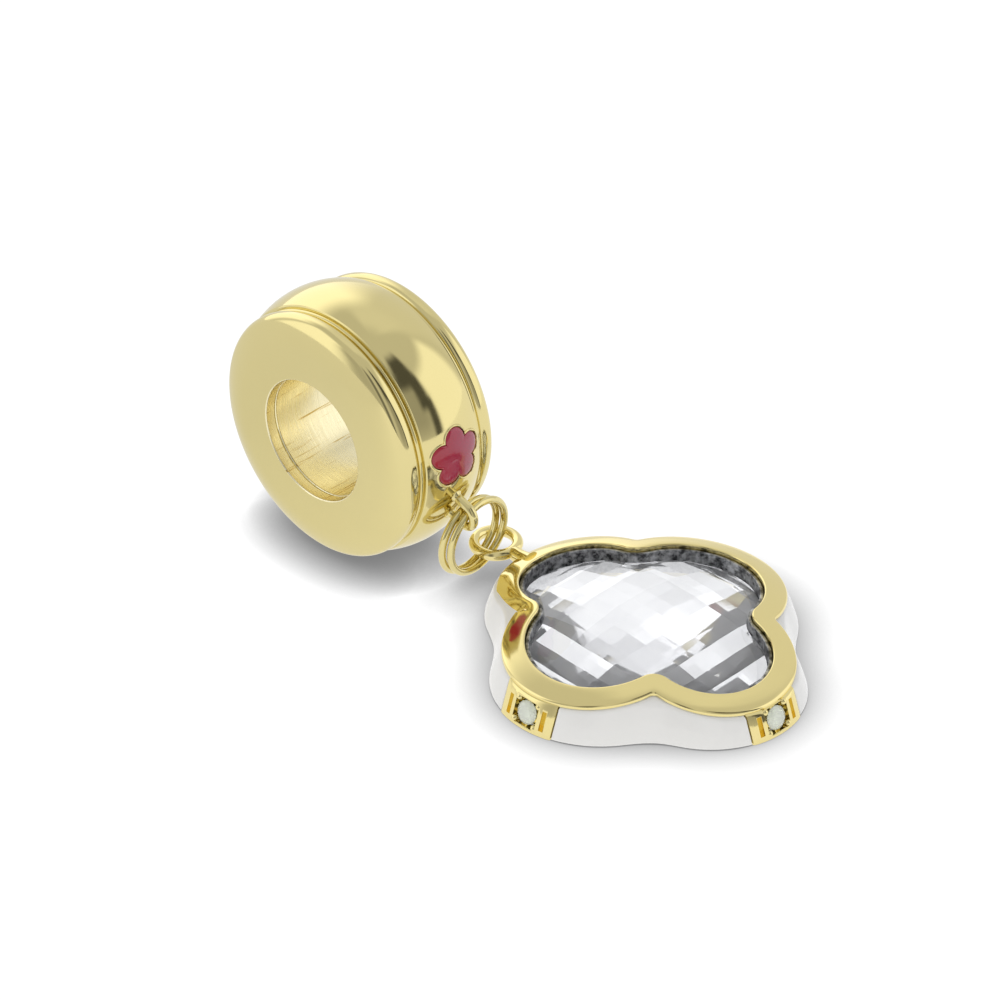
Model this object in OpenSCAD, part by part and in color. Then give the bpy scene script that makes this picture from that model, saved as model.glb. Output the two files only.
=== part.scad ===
// Clover charm: a large-hole bead charm with a four-lobed stone pendant lying beside it.
// +Z is up. The pendant lies along +X from the bead, and the bead's bore runs along Y.

/* [Bead] */
// Width of the bead along its bore
bead_w = 5.1; // [5:0.1:5.4]
// Radius of the bore
bore_r = 2.5; // [2.3:0.05:2.6]
// Radius of the two end flanges
flange_r = 5.03; // [4.95:0.01:5.1]
// Width of each end flange
flange_w = 0.95; // [0.85:0.05:1]
// Radius of the rounding on a flange's edge
flange_edge_r = 0.4; // [0.34:0.02:0.44]
// Radius at which a flange's flat face starts to round off
flange_flat_r = 3.7; // [3.5:0.1:3.9]
// Radius of the soft crown from there to the flange's edge
flange_crown_r = 2.4; // [2.2:0.1:3.4]
// Largest radius of the crowned barrel, which the bead rests on
barrel_r = 5.38; // [5.34:0.01:5.42]
// Radius of the barrel's crown, seen along its length
crown_r = 3.4; // [3.2:0.1:5]
// Thickness of the raised line on each side of the barrel
line_t = 0.2; // [0.16:0.01:0.24]
// Sideways place of the bead's middle
bead_y = -1.9; // [-1.95:0.05:-1.85]

/* [Blossom] */
// Radius of one enamel petal
petal_r = 0.47; // [0.42:0.01:0.5]
// Distance of a petal's centre from the blossom's
petal_reach = 0.72; // [0.66:0.01:0.75]
// Depth of the enamel in the barrel
blossom_t = 0.3; // [0.2:0.05:0.4]
// Angle of the blossom above the bead's axis
blossom_angle = 7; // [2:1:20]

/* [Eyes and rings] */
// Radius of the wire of the bead's soldered eye
bead_eye_wire_r = 0.18; // [0.16:0.01:0.18]
// Radius of the bend of the bead's soldered eye, to the middle of its wire
bead_eye_r = 0.46; // [0.455:0.005:0.465]
// Length of the soldered eye's straight legs outside the barrel
bead_eye_leg = 0.62; // [0.62:0.01:0.7]
// Angle of the soldered eye below the bead's axis
bead_eye_angle = 18.2; // [18.1:0.1:18.3]
// Radius of the wire of a jump ring
ring_wire_r = 0.15; // [0.12:0.01:0.15]
// Radius of a jump ring, to the middle of its wire
ring_r = 1.53; // [1.526:0.002:1.534]
// Radius of the pendant's cast eye, to the middle of its wire
cast_eye_r = 0.83; // [0.825:0.005:0.835]
// Radius of the wire of the pendant's cast eye
cast_eye_wire_r = 0.22; // [0.2:0.01:0.22]
// Height of the cast eye's middle above the surface
cast_eye_z = 1.15; // [1.14:0.005:1.16]

/* [Clover frame] */
// Distance from the bead's middle to the clover's middle, along X
hang = 13.35; // [13.3:0.05:13.45]
// Distance of the two lobe centres along X from the clover's middle
lobe_x_reach = 3.3; // [3.2:0.05:3.35]
// Inner radius of the rim on the two lobes along X
lobe_x_r = 2.36; // [2.3:0.02:2.4]
// Distance of the two lobe centres along Y from the clover's middle
lobe_y_reach = 2.42; // [2.35:0.01:2.5]
// Inner radius of the rim on the two lobes along Y
lobe_y_r = 2.78; // [2.7:0.02:2.8]
// Width of the domed gold rim
rim_w = 0.9; // [0.8:0.05:1]
// Height of the rim's outer side
rim_t = 0.18; // [0.16:0.02:0.3]
// Height of the domed top at the clover's middle, if it were filled
dome_z = 2.56; // [2.5:0.02:2.7]
// Radius of the sphere that the rim's top lies on
dome_r = 17; // [15:0.5:22]
// How far the wall's foot stands out from the rim
flare = 0.5; // [0.4:0.05:0.55]
// Height at which the flaring wall is as wide as the rim
flare_z = 1.5; // [1.4:0.1:1.7]
// Thickness of the closed back
back_t = 0.4; // [0.3:0.05:0.5]

/* [Enamel and settings] */
// Thickness of the white enamel on the wall
enamel_t = 0.32; // [0.25:0.01:0.4]
// Width of the gold bar on a lobe's tip
bar_w = 2.5; // [2.3:0.1:3]
// Width of the pocket in a bar
pocket_w = 1.14; // [1.1:0.02:1.2]
// Height of the pocket in a bar
pocket_h = 1.04; // [1.04:0.02:1.1]
// Depth of the pocket
pocket_d = 0.5; // [0.45:0.05:0.55]
// Height of the pocket's middle, along the wall
pocket_z = 0.66; // [0.62:0.01:0.7]
// Width of the slit beside a pocket
slit_w = 0.2; // [0.15:0.01:0.25]
// Radius of a side stone
side_stone_r = 0.47; // [0.42:0.01:0.48]
// Radius of a setting bead at a pocket's corner
prong_r = 0.14; // [0.12:0.01:0.14]

/* [Main stone] */
// Height of the stone's top above the surface
stone_top_z = 2.2; // [2:0.05:2.4]
// Thickness of the grey lining of the well
lining_t = 0.14; // [0.1:0.02:0.2]
// Gap between neighbouring pieces
gap = 0.03; // [0.02:0.01:0.04]

/* [Hidden] */
$fn = 64;
bead_fn = 128;
wire_fn = 24;

gold = [0.86, 0.78, 0.5];
crimson = [0.66, 0.12, 0.24];
white = [0.92, 0.92, 0.91];
grey = [0.35, 0.35, 0.37];
crystal = [0.85, 0.9, 0.95];

// The footprint's middle is the origin, so both ends lie equally far from it.
foot_reach = lobe_x_reach + lobe_x_r + rim_w + flare;
bead_x = -(hang + foot_reach - barrel_r) / 2;
clover_x = bead_x + hang;
bead_z = barrel_r;
far = 30;

// Lobes: their direction, the distance of their centre and the rim's inner radius there.
LOBE_ANGLE = 0;
LOBE_REACH = 1;
LOBE_R = 2;
lobes = [
    [0, lobe_x_reach, lobe_x_r],
    [90, lobe_y_reach, lobe_y_r],
    [180, lobe_x_reach, lobe_x_r],
    [270, lobe_y_reach, lobe_y_r]
];
// The tips that carry a side stone are the three away from the cast eye.
LEFT = lobes[3];
FRONT = lobes[0];
RIGHT = lobes[1];
stone_lobes = [LEFT, FRONT, RIGHT];

// Half section of the bead, radius to the right and the bore's length upwards.
corner_r = 0.24;
line_r = flange_r - 0.16;
line_sunk = 0.01;
mouth_ring_r = 0.07;
mouth_ring_in = 0.5;

module bead_section() {
    half_w = bead_w / 2;
    barrel_half = half_w - flange_w - line_t;
    // Depth of the edge rounding's centre, where it touches the crown from inside
    edge_in = flange_crown_r
        - sqrt(pow(flange_crown_r - flange_edge_r, 2) - pow(flange_r - flange_edge_r - flange_flat_r, 2));
    difference() {
        union() {
            for (side = [0, 1]) mirror([0, side]) {
                // Flange: flat face, soft crown, rounded edge and inner rounding
                translate([bore_r, half_w - flange_w]) square([flange_flat_r - bore_r, flange_w]);
                intersection() {
                    translate([flange_flat_r, half_w - flange_w])
                        square([flange_r - flange_edge_r - flange_flat_r, flange_w]);
                    translate([flange_flat_r, half_w - flange_crown_r]) circle(r = flange_crown_r, $fn = bead_fn);
                }
                translate([flange_r - flange_edge_r, half_w - edge_in]) circle(r = flange_edge_r, $fn = 40);
                translate([bore_r, half_w - flange_w])
                    square([flange_r - corner_r - bore_r, flange_w - edge_in]);
                translate([bore_r, half_w - flange_w + corner_r])
                    square([flange_r - bore_r, flange_w - edge_in - corner_r]);
                translate([flange_r - corner_r, half_w - flange_w + corner_r]) circle(r = corner_r, $fn = wire_fn);
                // Raised line beside the barrel
                translate([line_r, barrel_half + line_t / 2]) circle(r = line_t / 2 + line_sunk, $fn = wire_fn);
                translate([bore_r, barrel_half]) square([line_r - bore_r, line_t]);
            }
            // Crowned barrel
            intersection() {
                translate([bore_r, -barrel_half]) square([barrel_r - bore_r, 2 * barrel_half]);
                translate([barrel_r - crown_r, 0]) circle(r = crown_r, $fn = bead_fn);
            }
        }
        // Shallow groove just inside each mouth of the bore
        for (side = [-1, 1])
            translate([bore_r, side * (half_w - mouth_ring_in)]) circle(r = mouth_ring_r, $fn = wire_fn);
    }
}

// Turns a child that points along +X to an angle below the bead's axis, on the bead.
module on_bead(angle) {
    translate([bead_x, bead_y, bead_z]) rotate([0, angle, 0]) children();
}

module blossom_outline(grow) {
    first_petal = 18;
    for (i = [0:4])
        rotate([0, 0, first_petal + 72 * i]) translate([petal_reach, 0]) circle(r = petal_r + grow, $fn = 40);
    circle(r = petal_reach, $fn = 40);
}

module blossom_prism(grow, depth) {
    stand_out = 0.02;
    on_bead(-blossom_angle)
        intersection() {
            translate([barrel_r - depth, 0, 0]) rotate([90, 0, 90]) linear_extrude(2) blossom_outline(grow);
            rotate([90, 0, 180]) cylinder(r = barrel_r + stand_out, h = bead_w, center = true, $fn = bead_fn);
        }
}

// Loop whose hole runs along the bore, with both legs sunk in the barrel.
module bead_eye() {
    sunk = 0.6;
    on_bead(bead_eye_angle)
        translate([barrel_r + bead_eye_leg, 0, 0])
            rotate([90, 0, 0]) {
                rotate([0, 0, -90])
                    rotate_extrude(angle = 180, $fn = 48)
                        translate([bead_eye_r, 0]) circle(r = bead_eye_wire_r, $fn = wire_fn);
                for (side = [-1, 1])
                    translate([-bead_eye_leg - sunk, side * bead_eye_r, 0])
                        rotate([0, 90, 0]) cylinder(r = bead_eye_wire_r, h = bead_eye_leg + sunk, $fn = wire_fn);
            }
}

module bead() {
    color(gold)
        difference() {
            union() {
                translate([bead_x, bead_y, bead_z])
                    rotate([90, 0, 180]) rotate_extrude($fn = bead_fn) bead_section();
                bead_eye();
            }
            blossom_prism(gap, blossom_t + gap);
        }
}

module bead_blossom() {
    color(crimson) blossom_prism(0, blossom_t);
}

// Both rings pass through the bead's eye and the cast eye. Each has its middle, measured from the
// bead's middle, and the direction that it faces.
left_ring_at = [5.3005, 0.608, -3.247];
left_ring_faces = [-0.9948, -0.0608, 0.0819];
right_ring_at = [5.644, 0.723, -3.2095];
right_ring_faces = [-0.9951, -0.0691, 0.0703];

module jump_ring(at, faces) {
    color(gold)
        translate([bead_x, bead_y, bead_z] + at)
            rotate([0, acos(faces.z / norm(faces)), atan2(faces.y, faces.x)])
                rotate_extrude($fn = 64) translate([ring_r, 0]) circle(r = ring_wire_r, $fn = wire_fn);
}

module jump_ring_left() {
    jump_ring(left_ring_at, left_ring_faces);
}

module jump_ring_right() {
    jump_ring(right_ring_at, right_ring_faces);
}

module lobe_diamond() {
    polygon([[lobe_x_reach, 0], [0, lobe_y_reach], [-lobe_x_reach, 0], [0, -lobe_y_reach]]);
}

// Four-lobed outline at an offset from the rim's inner edge.
module clover_outline(grow) {
    for (lobe = lobes)
        rotate([0, 0, lobe[LOBE_ANGLE]]) translate([lobe[LOBE_REACH], 0]) circle(r = lobe[LOBE_R] + grow);
    lobe_diamond();
}

// The far meeting point of two circles, one on each axis.
function far_meet(x, rx, y, ry) =
    let (apart = norm([x, y]), along = (rx * rx - ry * ry + apart * apart) / (2 * apart))
    let (across = sqrt(rx * rx - along * along))
    [x - x / apart * along + y / apart * across, y / apart * along + x / apart * across];

// Outline of the well and of what lies in it: wider lobes, nearer the middle, and rounded notches.
well_shift = 0.08;
well_notch_r = 0.75;
well_x = lobe_x_reach - well_shift;
well_x_r = lobe_x_r + well_shift;
well_y = lobe_y_reach - well_shift;
well_y_r = lobe_y_r + well_shift;

// The rounding cuts this far into the lobes, so that their outlines cross.
well_notch_bite = 0.03;

module well_outline(grow) {
    reach = well_notch_r - well_notch_bite;
    middle = far_meet(well_x, well_x_r + reach, well_y, well_y_r + reach);
    for (side = [-1, 1]) {
        translate([side * well_x, 0]) circle(r = well_x_r + grow);
        translate([0, side * well_y]) circle(r = well_y_r + grow);
    }
    difference() {
        polygon([
            [well_x, 0], middle, [0, well_y], [-middle.x, middle.y], [-well_x, 0], -middle, [0, -well_y],
            [middle.x, -middle.y]
        ]);
        for (sx = [-1, 1], sy = [-1, 1])
            translate([sx * middle.x, sy * middle.y]) circle(r = well_notch_r - grow);
    }
}

// Four-lobed solid whose wall flares towards the foot.
notch_x = 2.45;
notch_y = 2.25;
notch_foot_r = 2.4;
notch_top_r = 1.6;
notch_inset_share = 1.6;

module clover_wall(inset) {
    top_z = dome_z + 0.1;
    foot = rim_w + flare - inset;
    top = foot - flare * top_z / flare_z;
    for (lobe = lobes)
        rotate([0, 0, lobe[LOBE_ANGLE]]) translate([lobe[LOBE_REACH], 0, 0])
            cylinder(r1 = lobe[LOBE_R] + foot, r2 = lobe[LOBE_R] + top, h = top_z);
    linear_extrude(top_z) lobe_diamond();
    // Fills each notch between two lobes, widest at the foot
    for (sx = [-1, 1], sy = [-1, 1])
        translate([sx * notch_x, sy * notch_y, 0])
            cylinder(r1 = notch_foot_r - notch_inset_share * inset, r2 = notch_top_r - notch_inset_share * inset, h = top_z);
}

// Everything under the domed top, lowered by a drop.
module under_dome(drop) {
    translate([0, 0, dome_z - drop - dome_r]) sphere(r = dome_r, $fn = bead_fn);
}

// Places a child at a lobe's tip, +X outwards and square to the flaring wall.
module at_tip(lobe) {
    rotate([0, 0, lobe[LOBE_ANGLE]])
        translate([lobe[LOBE_REACH] + lobe[LOBE_R] + rim_w + flare, 0, 0])
            rotate([0, -atan2(flare, flare_z), 0]) children();
}

eye_strip_w = 0.7;

module bar_zone(grow) {
    for (lobe = stone_lobes)
        rotate([0, 0, lobe[LOBE_ANGLE]])
            translate([lobe[LOBE_REACH], -bar_w / 2 - grow, -1]) cube([far, bar_w + 2 * grow, far]);
    // The eye's tip has a plain gold strip
    rotate([0, 0, 180])
        translate([lobe_x_reach, -eye_strip_w / 2 - grow, -1]) cube([far, eye_strip_w + 2 * grow, far]);
}

module setting_cuts(lobe) {
    slit_y = pocket_w / 2 + 0.27;
    slit_h = 0.8;
    slit_d = 0.35;
    at_tip(lobe) {
        translate([-pocket_d, -pocket_w / 2, pocket_z - pocket_h / 2]) cube([2, pocket_w, pocket_h]);
        for (side = [-1, 1])
            translate([-slit_d, side * slit_y - slit_w / 2, pocket_z - slit_h / 2]) cube([2, slit_w, slit_h]);
    }
}

module setting_beads(lobe) {
    sunk = 0.16;
    bead_in = 0.08;
    at_tip(lobe)
        for (sy = [-1, 1], sz = [-1, 1])
            translate([-sunk, sy * (pocket_w / 2 - bead_in), pocket_z + sz * (pocket_h / 2 - bead_in)])
                sphere(r = prong_r, $fn = wire_fn);
}

module cast_eye() {
    eye_reach = hang - 5.442;
    neck_r = 0.3;
    neck_start = lobe_x_reach + lobe_x_r + 0.4;
    translate([-eye_reach, 0, cast_eye_z])
        rotate([0, 0, 180]) rotate_extrude($fn = 64) translate([cast_eye_r, 0]) circle(r = cast_eye_wire_r, $fn = wire_fn);
    translate([-neck_start, 0, cast_eye_z])
        rotate([0, -90, 0]) cylinder(r = neck_r, h = eye_reach - cast_eye_r - neck_start, $fn = wire_fn);
}

module clover_frame() {
    color(gold)
        translate([clover_x, 0, 0]) {
            difference() {
                union() {
                    // Rim with a domed top
                    intersection() {
                        linear_extrude(dome_z + 0.1) clover_outline(rim_w);
                        difference() {
                            under_dome(0);
                            under_dome(rim_t);
                        }
                    }
                    // Core that the enamel lies on
                    intersection() {
                        clover_wall(enamel_t);
                        under_dome(rim_t - 0.05);
                    }
                    // Bars on the tips
                    intersection() {
                        clover_wall(0);
                        bar_zone(0);
                        under_dome(rim_t - 0.05);
                    }
                }
                // The well that holds the stone
                translate([0, 0, back_t]) linear_extrude(dome_z) well_outline(0);
                for (lobe = stone_lobes) setting_cuts(lobe);
            }
            for (lobe = stone_lobes) setting_beads(lobe);
            cast_eye();
        }
}

module well_lining() {
    below_rim = 0.22;
    color(grey)
        translate([clover_x, 0, 0])
            difference() {
                intersection() {
                    translate([0, 0, back_t + gap]) linear_extrude(dome_z) well_outline(-gap);
                    under_dome(below_rim);
                }
                translate([0, 0, back_t + gap + lining_t]) linear_extrude(dome_z) well_outline(-gap - lining_t);
            }
}

// One of the four white panels, between the bars of two neighbouring tips.
module enamel_panel(turn) {
    color(white)
        translate([clover_x, 0, 0])
            difference() {
                intersection() {
                    clover_wall(0);
                    under_dome(rim_t + gap);
                    translate([0, 0, gap]) rotate([0, 0, turn]) cube([far, far, far]);
                }
                clover_wall(enamel_t - gap);
                bar_zone(gap);
            }
}

module enamel_back_right() {
    enamel_panel(0);
}

module enamel_back_left() {
    enamel_panel(90);
}

module enamel_front_left() {
    enamel_panel(180);
}

module enamel_front_right() {
    enamel_panel(270);
}

// A round stone with a table, eight crown facets and eight pavilion facets, facing +X.
module side_stone(lobe) {
    crown_h = 0.15;
    pavilion_h = 0.3;
    table_share = 0.58;
    culet_r = 0.06;
    sunk = 0.13;
    color(crystal)
        translate([clover_x, 0, 0])
            at_tip(lobe)
                translate([-sunk, 0, pocket_z])
                    rotate([0, 90, 0]) {
                        cylinder(r1 = side_stone_r, r2 = side_stone_r * table_share, h = crown_h, $fn = 8);
                        translate([0, 0, -pavilion_h])
                            cylinder(r1 = culet_r, r2 = side_stone_r, h = pavilion_h, $fn = 8);
                    }
}

module side_stone_left() {
    side_stone(LEFT);
}

module side_stone_front() {
    side_stone(FRONT);
}

module side_stone_right() {
    side_stone(RIGHT);
}

// Chequered cut: lines along X and Y divide the crown, and the height falls by a straight
// slope between two lines, so each cell is one flat facet.
CUT_AT = 0;
CUT_SLOPE = 1;
cuts = [
    [0.75, 0],
    [2.4, 0.16],
    [4.1, 0.3],
    [7, 0.45]
];

// Fall of the crown from its middle to the cut with number i.
function fall(i) =
    i == 0 ? 0 : fall(i - 1) + (cuts[i][CUT_AT] - cuts[i - 1][CUT_AT]) * cuts[i][CUT_SLOPE];
steps = concat([for (i = [3:-1:0]) [-cuts[i][CUT_AT], fall(i)]], [for (i = [0:3]) [cuts[i][CUT_AT], fall(i)]]);

module crown_solid() {
    n = len(steps);
    top = [for (a = steps, b = steps) [a[0], b[0], stone_top_z - a[1] - b[1]]];
    foot = [for (a = steps, b = steps) [a[0], b[0], -4]];
    top_faces = [for (i = [0:n - 2], j = [0:n - 2]) [i * n + j, i * n + j + 1, (i + 1) * n + j + 1, (i + 1) * n + j]];
    foot_faces = [for (face = top_faces) [for (k = [3:-1:0]) face[k] + n * n]];
    last = n - 1;
    edges = concat(
        [for (j = [0:n - 2]) [j, j + 1]],
        [for (i = [0:n - 2]) [i * n + last, (i + 1) * n + last]],
        [for (j = [n - 2:-1:0]) [last * n + j + 1, last * n + j]],
        [for (i = [n - 2:-1:0]) [(i + 1) * n, i * n]]
    );
    sides = [for (edge = edges) [edge[0], edge[0] + n * n, edge[1] + n * n, edge[1]]];
    polyhedron(points = concat(top, foot), faces = concat(top_faces, foot_faces, sides), convexity = 4);
}

module clover_stone() {
    inset = 2 * gap + lining_t;
    color(crystal)
        translate([clover_x, 0, 0])
            intersection() {
                translate([0, 0, back_t + inset]) linear_extrude(dome_z) well_outline(-inset);
                crown_solid();
            }
}

bead();
bead_blossom();
jump_ring_left();
jump_ring_right();
clover_frame();
well_lining();
clover_stone();
enamel_back_left();
enamel_front_left();
enamel_front_right();
enamel_back_right();
side_stone_left();
side_stone_front();
side_stone_right();
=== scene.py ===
import math

import bmesh
import bpy
from mathutils import Matrix, Vector, kdtree, noise


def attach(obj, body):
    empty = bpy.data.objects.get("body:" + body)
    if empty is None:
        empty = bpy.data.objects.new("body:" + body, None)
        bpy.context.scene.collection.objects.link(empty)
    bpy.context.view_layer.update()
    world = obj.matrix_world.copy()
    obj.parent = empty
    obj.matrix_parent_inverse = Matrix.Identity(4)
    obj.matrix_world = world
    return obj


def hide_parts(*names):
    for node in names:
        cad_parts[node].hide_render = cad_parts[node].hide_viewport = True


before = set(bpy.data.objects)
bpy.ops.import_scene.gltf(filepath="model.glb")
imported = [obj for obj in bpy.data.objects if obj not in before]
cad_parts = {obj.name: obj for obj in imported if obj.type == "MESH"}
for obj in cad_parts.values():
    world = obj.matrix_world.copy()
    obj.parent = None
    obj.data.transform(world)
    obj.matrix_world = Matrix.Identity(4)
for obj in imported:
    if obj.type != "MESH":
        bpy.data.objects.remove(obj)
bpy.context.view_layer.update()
mm = 0.001
weldWithin = 0.0005                                 # mm
print("frame loaded:", len(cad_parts), "nodes")


# Small helpers, all shapes in mm until a piece is made

def toLinear(hexText):
    # sRGB hex to linear red, green, blue and alpha
    values = [int(hexText[i:i + 2], 16) / 255 for i in (1, 3, 5)]
    return tuple(v / 12.92 if v <= 0.04045 else ((v + 0.055) / 1.055) ** 2.4 for v in values) + (1.0,)


def addNode(tree, kind, inputs=None, **settings):
    node = tree.nodes.new(kind)
    for name, value in settings.items():
        setattr(node, name, value)
    for name, value in (inputs or {}).items():
        if isinstance(value, bpy.types.NodeSocket):
            tree.links.new(value, node.inputs[name])
        else:
            node.inputs[name].default_value = value
    return node


def newMaterial(name):
    material = bpy.data.materials.new(name)
    material.use_nodes = True
    material.node_tree.nodes.clear()
    coords = addNode(material.node_tree, "ShaderNodeTexCoord").outputs["Object"]
    return material, material.node_tree, coords


def closeMaterial(tree, shader):
    addNode(tree, "ShaderNodeOutputMaterial", {"Surface": shader.outputs[0]})


def perMm(size):  # texture scale for features of that size in mm
    return 1 / (size * mm)


def arc(centre, radius, startDeg, endDeg, count):
    angles = [math.radians(startDeg + (endDeg - startDeg) * i / count) for i in range(count + 1)]
    return [(centre[0] + radius * math.cos(a), centre[1] + radius * math.sin(a)) for a in angles]


def weld(bm):
    # Merges doubles, drops what has no size and turns the faces outwards
    bmesh.ops.remove_doubles(bm, verts=bm.verts, dist=weldWithin)
    bmesh.ops.dissolve_degenerate(bm, edges=bm.edges, dist=weldWithin / 5)
    bmesh.ops.recalc_face_normals(bm, faces=bm.faces)


def mappedGrid(columns, rows, spot):
    # A grid whose vertex in column i and row j goes to spot(i, j)
    bm = bmesh.new()
    made = bmesh.ops.create_grid(bm, x_segments=columns, y_segments=rows, size=1)["verts"]
    for v in made:
        v.co = spot(round((v.co.x + 1) / 2 * columns), round((v.co.y + 1) / 2 * rows))
    return bm


def spinProfile(points, steps, close=True):
    # Points are (radius, height), spun about Y
    bm = bmesh.new()
    verts = [bm.verts.new((r, h, 0)) for r, h in points]
    edges = [bm.edges.new(pair) for pair in zip(verts, verts[1:])]
    if close:
        edges.append(bm.edges.new((verts[-1], verts[0])))
    bmesh.ops.spin(bm, geom=verts + edges, cent=(0, 0, 0), axis=(0, 1, 0), angle=math.radians(360.0),
                   steps=steps, use_merge=True, use_duplicate=False)
    weld(bm)
    return bm


def wireRing(ringR, wireR, steps, wireSteps=24):
    # A ring of round wire about Y
    return spinProfile([(ringR + x, y) for x, y in arc((0, 0), wireR, 0, 360, wireSteps)[:-1]], steps)


def bentWire(bendR, leg, sunk, wireR, steps=32, wireSteps=24):
    # Round wire bent to a U in the XZ plane: the bend about the origin, the legs towards -X
    line = [(-leg - sunk, bendR), (-leg, bendR)] + [(x, -z) for x, z in arc((0, 0), bendR, -90, 90, steps)]
    line += [(-leg, -bendR), (-leg - sunk, -bendR)]

    def spot(i, j):
        before, here, after = line[max(i - 1, 0)], line[i], line[min(i + 1, len(line) - 1)]
        along = (Vector(after) - Vector(before)).normalized()
        a = 2 * math.pi * j / wireSteps
        return Vector((here[0] - along.y * math.cos(a) * wireR, math.sin(a) * wireR,
                       here[1] + along.x * math.cos(a) * wireR))

    bm = mappedGrid(len(line) - 1, wireSteps, spot)
    weld(bm)
    capHoles(bm)
    return bm


def capHoles(bm):
    bmesh.ops.holes_fill(bm, edges=[e for e in bm.edges if e.is_boundary], sides=0)
    bmesh.ops.recalc_face_normals(bm, faces=bm.faces)


def addTo(bm, other, matrix=None):
    # Joins a bmesh into another and frees it
    if matrix is not None:
        other.transform(matrix)
    mesh = bpy.data.meshes.new("scratch")
    other.to_mesh(mesh)
    other.free()
    bm.from_mesh(mesh)
    bpy.data.meshes.remove(mesh)


def mirrored(bm, axes):
    for axis in axes:
        bmesh.ops.mirror(bm, geom=bm.verts[:] + bm.edges[:] + bm.faces[:], merge_dist=0.001, axis=axis)
    weld(bm)
    return bm


def boolean(target, cutter, operation):
    # Both are closed bmeshes; the result is a new one
    scratch = []
    for bm in (target, cutter):
        mesh = bpy.data.meshes.new("scratch")
        bm.to_mesh(mesh)
        bm.free()
        scratch.append(bpy.data.objects.new("scratch", mesh))
        bpy.context.scene.collection.objects.link(scratch[-1])
    modifier = scratch[0].modifiers.new("cut", "BOOLEAN")
    modifier.object = scratch[1]
    modifier.operation = operation
    modifier.solver = "EXACT"
    evaluated = scratch[0].evaluated_get(bpy.context.evaluated_depsgraph_get())
    result = bmesh.new()
    result.from_mesh(evaluated.to_mesh())
    for item in scratch:
        mesh = item.data
        bpy.data.objects.remove(item)
        bpy.data.meshes.remove(mesh)
    return result


def makePiece(name, bm, materials, stands, sharpDeg=30.0):
    # Edges that turn more than sharpDeg stay sharp; 0 leaves every face flat
    for face in bm.faces:
        face.smooth = sharpDeg > 0
    for edge in bm.edges:
        edge.smooth = len(edge.link_faces) == 2 and edge.calc_face_angle(0) < math.radians(sharpDeg)
    bmesh.ops.scale(bm, vec=(mm, mm, mm), verts=bm.verts)
    mesh = bpy.data.meshes.new(name)
    bm.to_mesh(mesh)
    bm.free()
    for material in materials:
        mesh.materials.append(material)
    piece = bpy.data.objects.new(name, mesh)
    bpy.context.scene.collection.objects.link(piece)
    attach(piece, "root")
    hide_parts(*stands)
    print("piece", name, len(mesh.polygons), "faces")
    return piece


# Materials

def polishedGold(name, hexColour, roughness, wave):
    # Polished gold plate: mirror bright, with the faint waviness that hand polishing leaves
    material, tree, coords = newMaterial(name)
    cloud = addNode(tree, "ShaderNodeTexNoise", {"Vector": coords, "Scale": perMm(2.2), "Detail": 3.0})
    bright = toLinear(hexColour)
    tone = addNode(tree, "ShaderNodeMix", {
        0: cloud.outputs["Fac"], 6: bright, 7: tuple(c * 0.96 for c in bright[:3]) + (1.0,),
    }, data_type="RGBA")
    fine = addNode(tree, "ShaderNodeTexNoise", {"Vector": coords, "Scale": perMm(0.3), "Detail": 4.0})
    rough = addNode(tree, "ShaderNodeMapRange", {
        "Value": fine.outputs["Fac"], "From Min": 0.3, "From Max": 0.7,
        "To Min": roughness * 0.8, "To Max": roughness * 1.3,
    })
    waves = addNode(tree, "ShaderNodeTexNoise", {"Vector": coords, "Scale": perMm(1.4), "Detail": 1.0})
    bump = addNode(tree, "ShaderNodeBump", {
        "Height": waves.outputs["Fac"], "Strength": 1.0, "Distance": wave * mm,
    })
    closeMaterial(tree, addNode(tree, "ShaderNodeBsdfPrincipled", {
        "Base Color": tone.outputs[2], "Metallic": 1.0, "Roughness": rough.outputs[0],
        "Normal": bump.outputs["Normal"],
    }))
    return material


def turnedGold(name, hexColour, hexScratch):
    # Turned bore of the bead: lathe lines round the axis, coarser than real ones so that they show, and a few long
    # scratches along it
    material, tree, coords = newMaterial(name)
    around = addNode(tree, "ShaderNodeMapping", {"Vector": coords, "Scale": (0.04, 1.0, 0.04)})
    lines = addNode(tree, "ShaderNodeTexNoise", {"Vector": around.outputs[0], "Scale": perMm(0.07), "Detail": 3.0})
    along = addNode(tree, "ShaderNodeMapping", {"Vector": coords, "Scale": (1.0, 0.06, 1.0)})
    scratches = addNode(tree, "ShaderNodeTexNoise", {"Vector": along.outputs[0], "Scale": perMm(0.18), "Detail": 4.0})
    mark = addNode(tree, "ShaderNodeMapRange", {
        "Value": scratches.outputs["Fac"], "From Min": 0.62, "From Max": 0.7, "To Min": 0.0, "To Max": 1.0,
    })
    tone = addNode(tree, "ShaderNodeMix", {
        0: mark.outputs[0], 6: toLinear(hexColour), 7: toLinear(hexScratch),
    }, data_type="RGBA")
    rough = addNode(tree, "ShaderNodeMapRange", {
        "Value": lines.outputs["Fac"], "From Min": 0.3, "From Max": 0.7, "To Min": 0.2, "To Max": 0.34,
    })
    bump = addNode(tree, "ShaderNodeBump", {
        "Height": lines.outputs["Fac"], "Strength": 0.5, "Distance": 0.004 * mm,
    })
    closeMaterial(tree, addNode(tree, "ShaderNodeBsdfPrincipled", {
        "Base Color": tone.outputs[2], "Metallic": 1.0, "Roughness": rough.outputs[0],
        "Normal": bump.outputs["Normal"],
    }))
    return material


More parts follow.
